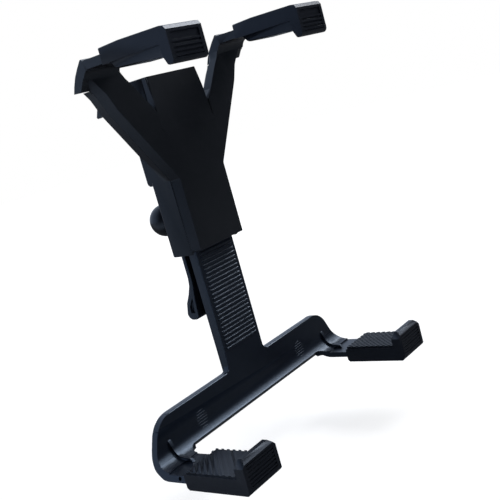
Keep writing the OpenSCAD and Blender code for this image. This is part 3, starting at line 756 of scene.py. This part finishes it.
@dataclass(frozen=True)
class RidgeFields:
    """Two round fields of fine ridges on the crossbar's front, one on each side, made with Geometry Nodes.

    The ridges run level, and the fields follow the crossbar's wall down and round its curl.

    Attributes:
        side: Distance of a field's middle from the centre plane.
        top: Height of the first ridge.
        count: Number of ridges.
        pitch: Distance between two ridges along the surface.
        width: Length of the middle ridge.
        ridge: Radius of a ridge.
        end: How far past the first and the last ridge the round outline closes, in pitches.
        facets: Number of segments and rings of a ridge.
        curl_y: Place of the curl's centre on Y.
        curl_z: Place of the curl's centre on Z.
        curl_r: Inner radius of the curl.
    """

    side: float = 43.2 * MM
    top: float = -87.3 * MM
    count: int = 7
    pitch: float = 1.35 * MM
    width: float = 8.8 * MM
    ridge: float = 0.16 * MM
    end: float = 0.6
    facets: tuple[int, int] = (12, 8)
    curl_y: float = -36.3 * MM
    curl_z: float = -92.0 * MM
    curl_r: float = 8.0 * MM

    def tree(self) -> tuple[bpy.types.NodeTree, dict[str, float | int]]:
        """Builds the tree.

        Returns:
            The tree, and its inputs' values by name.
        """
        tree = bpy.data.node_groups.new("ridge_fields", "GeometryNodeTree")
        values = {
            "Side": self.side,
            "Top": self.top,
            "Count": self.count,
            "Pitch": self.pitch,
            "Width": self.width,
            "Ridge Radius": self.ridge,
            "Curl Y": self.curl_y,
            "Curl Z": self.curl_z,
            "Curl Radius": self.curl_r,
        }
        for label, value in values.items():
            kind = "NodeSocketInt" if isinstance(value, int) else "NodeSocketFloat"
            tree.interface.new_socket(name=label, in_out="INPUT", socket_type=kind)
        tree.interface.new_socket(name="Finish", in_out="INPUT", socket_type="NodeSocketMaterial")
        tree.interface.new_socket(name="Geometry", in_out="OUTPUT", socket_type="NodeSocketGeometry")
        given, out = add_node(tree, "NodeGroupInput").outputs, add_node(tree, "NodeGroupOutput")
        link = tree.links.new
        line = add_node(tree, "GeometryNodeMeshLine")
        link(given["Count"], line.inputs["Count"])
        number = add_node(tree, "GeometryNodeInputIndex").outputs[0]
        run = maths(tree, "MULTIPLY", number, given["Pitch"])
        straight = maths(tree, "SUBTRACT", given["Top"], given["Curl Z"])
        bent = maths(tree, "MAXIMUM", maths(tree, "SUBTRACT", run, straight), 0.0)
        turn = maths(tree, "DIVIDE", bent, given["Curl Radius"])
        drop = maths(tree, "MULTIPLY", maths(tree, "SINE", turn), given["Curl Radius"])
        depth = maths(tree, "MULTIPLY", maths(tree, "COSINE", turn), given["Curl Radius"])
        wall_drop = maths(tree, "MINIMUM", run, straight)
        height = maths(tree, "SUBTRACT", maths(tree, "SUBTRACT", given["Top"], wall_drop), drop)
        place = add_node(tree, "ShaderNodeCombineXYZ")
        link(maths(tree, "ADD", given["Curl Y"], depth), place.inputs["Y"])
        link(height, place.inputs["Z"])
        seat = add_node(tree, "GeometryNodeSetPosition")
        link(line.outputs["Mesh"], seat.inputs["Geometry"])
        link(place.outputs[0], seat.inputs["Position"])
        # the ridges shorten towards the first and the last, so that the field looks round
        half = maths(tree, "DIVIDE", maths(tree, "SUBTRACT", given["Count"], 1.0), 2.0)
        off = maths(tree, "DIVIDE", maths(tree, "SUBTRACT", number, half), maths(tree, "ADD", half, self.end))
        chord = maths(tree, "SQRT", maths(tree, "SUBTRACT", 1.0, maths(tree, "MULTIPLY", off, off)))
        ball = add_node(tree, "GeometryNodeMeshUVSphere")
        ball.inputs["Segments"].default_value, ball.inputs["Rings"].default_value = self.facets
        ball.inputs["Radius"].default_value = 1.0
        size = add_node(tree, "ShaderNodeCombineXYZ")
        link(maths(tree, "MULTIPLY", chord, maths(tree, "DIVIDE", given["Width"], 2.0)), size.inputs["X"])
        link(given["Ridge Radius"], size.inputs["Y"])
        link(given["Ridge Radius"], size.inputs["Z"])
        ridges = add_node(tree, "GeometryNodeInstanceOnPoints")
        link(seat.outputs["Geometry"], ridges.inputs["Points"])
        link(ball.outputs["Mesh"], ridges.inputs["Instance"])
        link(size.outputs[0], ridges.inputs["Scale"])
        both = add_node(tree, "GeometryNodeMeshLine", mode="END_POINTS")
        both.inputs["Count"].default_value = 2
        for name, sign in (("Start Location", -1.0), ("Offset", 1.0)):
            spot = add_node(tree, "ShaderNodeCombineXYZ")
            link(maths(tree, "MULTIPLY", given["Side"], sign), spot.inputs["X"])
            link(spot.outputs[0], both.inputs[name])
        fields = add_node(tree, "GeometryNodeInstanceOnPoints")
        link(both.outputs["Mesh"], fields.inputs["Points"])
        link(ridges.outputs["Instances"], fields.inputs["Instance"])
        smooth = add_node(tree, "GeometryNodeSetShadeSmooth")
        real = add_node(tree, "GeometryNodeRealizeInstances")
        finish = add_node(tree, "GeometryNodeSetMaterial")
        link(fields.outputs["Instances"], real.inputs["Geometry"])
        link(real.outputs["Geometry"], smooth.inputs["Geometry"])
        link(smooth.outputs["Geometry"], finish.inputs["Geometry"])
        link(given["Finish"], finish.inputs["Material"])
        link(finish.outputs["Geometry"], out.inputs["Geometry"])
        return tree, values

    def build(self, finish: Finish) -> bpy.types.Object:
        """Builds the two fields as one plain mesh.

        Args:
            finish: The finish they get.

        Returns:
            The new piece.
        """
        mesh = bpy.data.meshes.new("crossbar_ridge_fields")
        piece = bpy.data.objects.new("crossbar_ridge_fields", mesh)
        bpy.context.scene.collection.objects.link(piece)
        tree, values = self.tree()
        grow = piece.modifiers.new("ridge_fields", "NODES")
        grow.node_group = tree
        for item in tree.interface.items_tree:
            if item.item_type == "SOCKET" and item.in_out == "INPUT":
                grow[item.identifier] = finish.material() if item.name == "Finish" else values[item.name]
        apply_modifiers(piece)
        return piece


@dataclass
class Carriage(Holder):
    """The sliding part: ribbed stem, crossbar, stop screws and lower grips.

    Attributes:
        bar_radius: The edge radius of the stem and the crossbar.
        grip_radius: The lower grips' edge radius.
        fields: The ridge fields on the crossbar.
    """

    bar_radius: float = 0.7 * MM
    grip_radius: float = 1.2 * MM
    fields: RidgeFields = RidgeFields()

    def build(self) -> None:
        """Builds and dresses the carriage's pieces."""
        self.round_node("t_slider", "carriage", "carriage", GLOSS_CARRIAGE, self.bar_radius)
        ridges = self.fields.build(GLOSS_CARRIAGE)
        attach(ridges, "carriage")
        self.pieces.append(ridges)
        LOG.info("%s: %d faces", ridges.name, len(ridges.data.polygons))
        for side in ("left", "right"):
            self.round_node(f"lower_{side}_grip", "carriage", "grip", MATTE_RUBBER, self.grip_radius)
        for number in (1, 2):
            self.dress_node(f"stop_screw_{number}", ZINC_STEEL)


@dataclass
class Lever(Holder):
    """The release lever.

    Attributes:
        lever_radius: The lever's edge radius.
    """

    lever_radius: float = 0.5 * MM

    def build(self) -> None:
        """Builds and dresses the lever."""
        self.round_node("release_lever", "lever", "carriage", GLOSS_CARRIAGE, self.lever_radius)


@dataclass(frozen=True)
class SoftBox:
    """A large soft area lamp.

    Attributes:
        name: The lamp's name.
        place: Where it hangs, in metres.
        aim: The point that it faces.
        size: Its width and height in metres.
        power: Its power in watts.
        colour: Its colour.
    """

    name: str
    place: tuple[float, float, float]
    aim: tuple[float, float, float]
    size: tuple[float, float]
    power: float
    colour: tuple[float, float, float] = (1.0, 1.0, 1.0)

    def build(self) -> None:
        """Builds the lamp."""
        data = bpy.data.lights.new(self.name, "AREA")
        data.shape = "RECTANGLE"
        data.size, data.size_y = self.size
        data.energy = self.power
        data.color = self.colour
        lamp = bpy.data.objects.new(self.name, data)
        lamp.location = self.place
        lamp.rotation_euler = (Vector(self.aim) - Vector(self.place)).to_track_quat("-Z", "Y").to_euler()
        bpy.context.scene.collection.objects.link(lamp)


@dataclass
class Studio:
    """Camera, floor, backdrop and lamps.

    Attributes:
        lens: Focal length in millimetres.
        sensor: The sensor's width in millimetres.
        near: What is closer to the camera than this isn't drawn, in metres.
        eye: Where the camera stands, in metres.
        right: The camera's local X axis.
        up: The camera's local Y axis.
        back: The camera's local Z axis.
        floor_z: The floor's height.
        floor_half: Half the floor's side.
        floor_roughness: The floor's roughness.
        floor_tone: The floor's tone for soft light.
        painted_reflection_tones: The floor's painted tones that only reflections see, on the left and on the
            right.
        painted_reflection_edge: Between these places on X, the pale painted reflection turns into painted
            dark shade.
        floor_glows: How bright the camera sees the floor in full shadow, near the holder and far from it.
        floor_glow_edge: Between these distances from the middle, the near floor turns into the far one.
        shadow_share: How much of the floor's light and shadow the camera sees.
        backdrop_edge: Between these places on Y of a direction, the dim room turns into the bright backdrop.
        backdrop_level: Brightness of the backdrop.
        room_level: Brightness of the room in front of the holder.
        backdrop_colour: Tint of the backdrop's light.
        boxes: The lamps.
    """

    lens: float = 61.709
    sensor: float = 36.0
    near: float = 0.01
    eye: tuple[float, float, float] = (-0.315788, -0.316775, 0.051367)
    right: tuple[float, float, float] = (0.585823, -0.765636, -0.265730)
    up: tuple[float, float, float] = (0.302120, -0.097936, 0.948226)
    back: tuple[float, float, float] = (-0.752020, -0.635775, 0.173941)
    floor_z: float = -0.135
    floor_half: float = 3.0
    floor_roughness: float = 0.9
    floor_tone: float = 0.7
    painted_reflection_tones: tuple[float, float] = (0.9, 0.14)
    painted_reflection_edge: tuple[float, float] = (-0.2, -0.08)
    floor_glows: tuple[float, float] = (0.72, 0.95)
    floor_glow_edge: tuple[float, float] = (0.25, 0.9)
    shadow_share: float = 0.4
    backdrop_edge: tuple[float, float] = (0.05, 0.6)
    backdrop_level: float = 0.9
    room_level: float = 0.06
    backdrop_colour: tuple[float, float, float] = (0.7, 0.81, 1.0)
    boxes: tuple[SoftBox, ...] = (
        SoftBox("front_right_box", (1.20, -0.98, 1.08), (0.0, -0.036, -0.09), (0.95, 0.85), 8.4),
        SoftBox("high_right_box", (0.86, -0.21, 0.86), (0.0, -0.036, 0.05), (0.6, 0.45), 9.0),
        SoftBox("high_left_box", (-0.42, -0.56, 0.95), (0.0, -0.036, 0.05), (0.35, 0.35), 3.2),
    )

    def camera(self) -> None:
        """Builds the camera at the photograph's viewpoint."""
        data = bpy.data.cameras.new("viewpoint")
        data.lens = self.lens
        data.sensor_width = self.sensor
        data.sensor_fit = "HORIZONTAL"
        data.clip_start = self.near
        camera = bpy.data.objects.new("viewpoint", data)
        turn = Matrix((self.right, self.up, self.back)).transposed().to_4x4()
        camera.matrix_world = Matrix.Translation(Vector(self.eye)) @ turn
        bpy.context.scene.collection.objects.link(camera)
        bpy.context.scene.camera = camera

    def floor_material(self) -> bpy.types.Material:
        """Builds the pale floor's material, which the camera sees as white outside the soft shadow.

        Returns:
            The material.
        """
        made = bpy.data.materials.new("pale_floor")
        made.use_nodes = True
        tree = made.node_tree
        link = tree.links.new
        shader = tree.nodes["Principled BSDF"]
        shader.inputs["Roughness"].default_value = self.floor_roughness
        shader.inputs["Specular IOR Level"].default_value = 0.0
        path = add_node(tree, "ShaderNodeLightPath")
        place = add_node(tree, "ShaderNodeTexCoord")
        axes = add_node(tree, "ShaderNodeSeparateXYZ")
        link(place.outputs["Object"], axes.inputs[0])
        # painted reflection: only glossy rays see this tone, a pale floor on the left and painted dark shade
        # on the right
        gloss = ramp(tree, *self.painted_reflection_edge)
        gloss.inputs["To Min"].default_value, gloss.inputs["To Max"].default_value = self.painted_reflection_tones
        link(axes.outputs["X"], gloss.inputs["Value"])
        change = maths(tree, "SUBTRACT", gloss.outputs["Result"], self.floor_tone)
        painted_reflection_change = maths(tree, "MULTIPLY", path.outputs["Is Glossy Ray"], change)
        direct = maths(tree, "MULTIPLY", path.outputs["Is Camera Ray"], self.shadow_share - self.floor_tone)
        tone = maths(tree, "ADD", maths(tree, "ADD", painted_reflection_change, direct), self.floor_tone)
        link(tone, shader.inputs["Base Color"])
        shader.inputs["Emission Color"].default_value = (1.0, 1.0, 1.0, 1.0)
        reach = add_node(tree, "ShaderNodeVectorMath", operation="LENGTH")
        link(place.outputs["Object"], reach.inputs[0])
        glow = ramp(tree, *self.floor_glow_edge)
        glow.inputs["To Min"].default_value, glow.inputs["To Max"].default_value = self.floor_glows
        link(reach.outputs["Value"], glow.inputs["Value"])
        seen = maths(tree, "MULTIPLY", path.outputs["Is Camera Ray"], glow.outputs["Result"])
        link(seen, shader.inputs["Emission Strength"])
        return made

    def floor(self) -> None:
        """Builds the pale floor under the holder."""
        mesh = bpy.data.meshes.new("floor")
        half, low = self.floor_half, self.floor_z
        ring = [(-half, -half, low), (half, -half, low), (half, half, low), (-half, half, low)]
        mesh.from_pydata(ring, [], [(0, 1, 2, 3)])
        mesh.materials.append(self.floor_material())
        floor = bpy.data.objects.new("floor", mesh)
        bpy.context.scene.collection.objects.link(floor)

    def world(self) -> None:
        """Builds a bright backdrop behind the holder, a dim room in front, and white for the camera."""
        world = bpy.data.worlds.new("studio")
        world.use_nodes = True
        bpy.context.scene.world = world
        tree = world.node_tree
        back = tree.nodes["Background"]
        place = add_node(tree, "ShaderNodeTexCoord")
        axes = add_node(tree, "ShaderNodeSeparateXYZ")
        tree.links.new(place.outputs["Generated"], axes.inputs[0])
        rear = ramp(tree, *self.backdrop_edge)
        rear.inputs["To Min"].default_value = self.room_level
        rear.inputs["To Max"].default_value = self.backdrop_level
        tree.links.new(axes.outputs["Y"], rear.inputs["Value"])
        tint = add_node(tree, "ShaderNodeMix", data_type="RGBA")
        tint.inputs[6].default_value = (*self.backdrop_colour, 1.0)
        tint.inputs[7].default_value = (1.0, 1.0, 1.0, 1.0)
        path = add_node(tree, "ShaderNodeLightPath")
        seen = path.outputs["Is Camera Ray"]
        tree.links.new(seen, tint.inputs[0])
        tree.links.new(tint.outputs[2], back.inputs["Color"])
        tree.links.new(maths(tree, "MAXIMUM", rear.outputs["Result"], seen), back.inputs["Strength"])

    def lamps(self) -> None:
        """Builds the soft lamps."""
        for lamp in self.boxes:
            lamp.build()

    def build(self) -> None:
        """Builds the whole studio."""
        self.camera()
        self.floor()
        self.world()
        self.lamps()
        bpy.context.scene.view_settings.view_transform = "Standard"


def main() -> None:
    """Builds the holder and its studio."""
    logging.basicConfig(level=logging.INFO, format="%(name)s %(message)s")
    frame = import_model()
    Studio().build()
    for assembly in (Bracket(frame), Carriage(frame), Lever(frame)):
        assembly.build()
        LOG.info("%s: %d pieces made", type(assembly).__name__, len(assembly.pieces))


if __name__ == "__main__":
    main()
